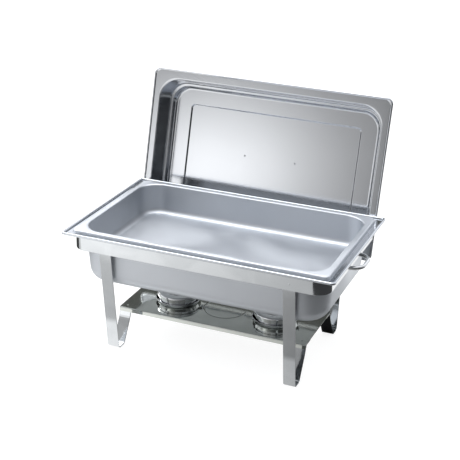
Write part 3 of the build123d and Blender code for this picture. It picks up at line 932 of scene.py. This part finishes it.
def makeFloorMaterial():
    # seen directly, the floor glows a little, so that it stays pale under the object
    s = studio
    material = plainMaterial("floor", s["floorColour"], s["floorRoughness"])
    tree = material.node_tree
    pale = addNode(tree, "ShaderNodeBsdfPrincipled")
    pale.inputs["Base Color"].default_value = (*s["seenColour"], 1)
    pale.inputs["Roughness"].default_value = s["floorRoughness"]
    pale.inputs["Emission Color"].default_value = (1, 1, 1, 1)
    pale.inputs["Emission Strength"].default_value = s["seenGlow"]
    mix = addNode(tree, "ShaderNodeMixShader")
    tree.links.new(addNode(tree, "ShaderNodeLightPath").outputs["Is Camera Ray"], mix.inputs[0])
    tree.links.new(tree.nodes["Principled BSDF"].outputs[0], mix.inputs[1])
    tree.links.new(pale.outputs[0], mix.inputs[2])
    tree.links.new(mix.outputs[0], tree.nodes["Material Output"].inputs["Surface"])
    return material


def glowMaterial(name, makeStrength):
    # light given off by a card, worked out from the place on it
    material = bpy.data.materials.new(name)
    material.use_nodes = True
    tree = material.node_tree
    tree.nodes.remove(tree.nodes["Principled BSDF"])
    glow = addNode(tree, "ShaderNodeEmission")
    place = addNode(tree, "ShaderNodeSeparateXYZ")
    tree.links.new(addNode(tree, "ShaderNodeTexCoord").outputs["Object"], place.inputs[0])
    tree.links.new(makeStrength(tree, *place.outputs), glow.inputs["Strength"])
    tree.links.new(glow.outputs[0], tree.nodes["Material Output"].inputs["Surface"])
    return material


def stageFace(name, corners, material):
    mesh = bpy.data.meshes.new(name)
    mesh.from_pydata(corners, [], [list(range(len(corners)))])
    mesh.materials.append(material)
    piece = linked(name, mesh)
    return piece


# ---- cards around the object, which only show in the steel's reflections

floorCards = {
    "right dark card": {"height": 0.002, "outline": [
        (0.12, -0.72), (0.12, -2.4), (2.6, -2.4), (2.6, 0.25), (0.45, 0.25), (0.45, -0.60)]},
    "left dark card": {"height": 0.002, "outline": [
        (-1.0, -0.3), (-0.62, -0.3), (-0.62, 0.4), (-1.0, 0.4)]},
    "rear foot card": {"height": 0.002, "outline": [
        (0.12, -0.01), (0.25, -0.01), (0.25, 0.08), (0.12, 0.08)]},
    "front sheet": {"height": 0.001, "outline": [
        (-1.2, -2.4), (0.62, -2.4), (0.62, -0.19), (-1.2, -0.19)]},
    "right sheet": {"height": 0.001, "outline": [
        (0.28, 0.12), (0.44, 0.12), (0.44, 0.26), (2.0, 0.26), (2.0, 1.6), (0.28, 1.6)]},
}
standingCards = {
    "left dark flag": [(-1.6, -0.2, 0), (-1.6, 1.2, 0), (-1.6, 1.2, 0.6), (-1.6, -0.2, 0.6)],
    "rear card": [(-1.1, 0.45, 0.01), (0.3, 0.45, 0.01), (0.3, 0.45, 0.42), (-1.1, 0.45, 0.42)],
    "front card": [(-2.6, -2.2, 0.02), (0.1, -2.2, 0.02), (0.1, -2.2, 1.5), (-2.6, -2.2, 1.5)],
}
cardLooks = {"darkColour": (0.02, 0.02, 0.02), "rearColour": (0.16, 0.165, 0.155), "roughness": 0.9}
frontCardGlow = {
    "brightX": -1.24, "brightZ": 0.54, "reachX": 0.46, "reachZ": 0.32, "peak": 1.25,
    "lowFrom": -0.90, "lowTo": -0.20, "left": 0.54, "right": 0.30,
}


def sheetGlow(tree, x, y, z):
    # falls steadily to the right, dimmer far out in front and brighter close to the stand
    across = spread(tree, x, 1.45, 0.02, -0.50, 0.60)
    far = spread(tree, y, 1.0, 0.62, -0.52, -0.44)
    close = spread(tree, y, 1.0, 1.9, -0.275, -0.26)
    return computed(tree, "MULTIPLY", across, computed(tree, "MULTIPLY", far, close))


def sideGlow(tree, x, y, z):
    # a little dimmer away from the stand
    return spread(tree, x, 1.25, 1.0, 0.4, 2.0)


def frontGlow(tree, x, y, z):
    # a bell curve about the card's brightest place, over a low glow that falls to the right
    s = frontCardGlow
    squares = []
    for value, middle, reach in ((x, s["brightX"], s["reachX"]), (z, s["brightZ"], s["reachZ"])):
        away = computed(tree, "DIVIDE", computed(tree, "SUBTRACT", value, middle), reach)
        squares.append(computed(tree, "MULTIPLY", away, away))
    bell = computed(tree, "EXPONENT", computed(tree, "MULTIPLY", computed(tree, "ADD", *squares), -1.0))
    low = spread(tree, x, s["left"], s["right"], s["lowFrom"], s["lowTo"])
    return computed(tree, "ADD", low, computed(tree, "MULTIPLY", bell, s["peak"]))


def makeCard(name, material):
    if name in floorCards:
        card = floorCards[name]
        corners = [(x, y, card["height"]) for x, y in card["outline"]]
    else:
        corners = standingCards[name]
    piece = stageFace(name, corners, material)
    piece.visible_camera = piece.visible_diffuse = piece.visible_shadow = False


makeCamera()
half = studio["floor"]
stageFace("floor", [(-half, -half, 0), (half, -half, 0), (half, half, 0), (-half, half, 0)],
          makeFloorMaterial())
darkCard = plainMaterial("dark card", cardLooks["darkColour"], cardLooks["roughness"])
for name in ("right dark card", "left dark card", "rear foot card", "left dark flag"):
    makeCard(name, darkCard)
makeCard("rear card", plainMaterial("rear card", cardLooks["rearColour"], cardLooks["roughness"]))
for name, glow in (("front sheet", sheetGlow), ("front card", frontGlow), ("right sheet", sideGlow)):
    makeCard(name, glowMaterial(name, glow))
makeAir()
for name, box in lightBoxes.items():
    softbox(name, **box)
bpy.context.scene.view_settings.view_transform = "Standard"
print("studio made")
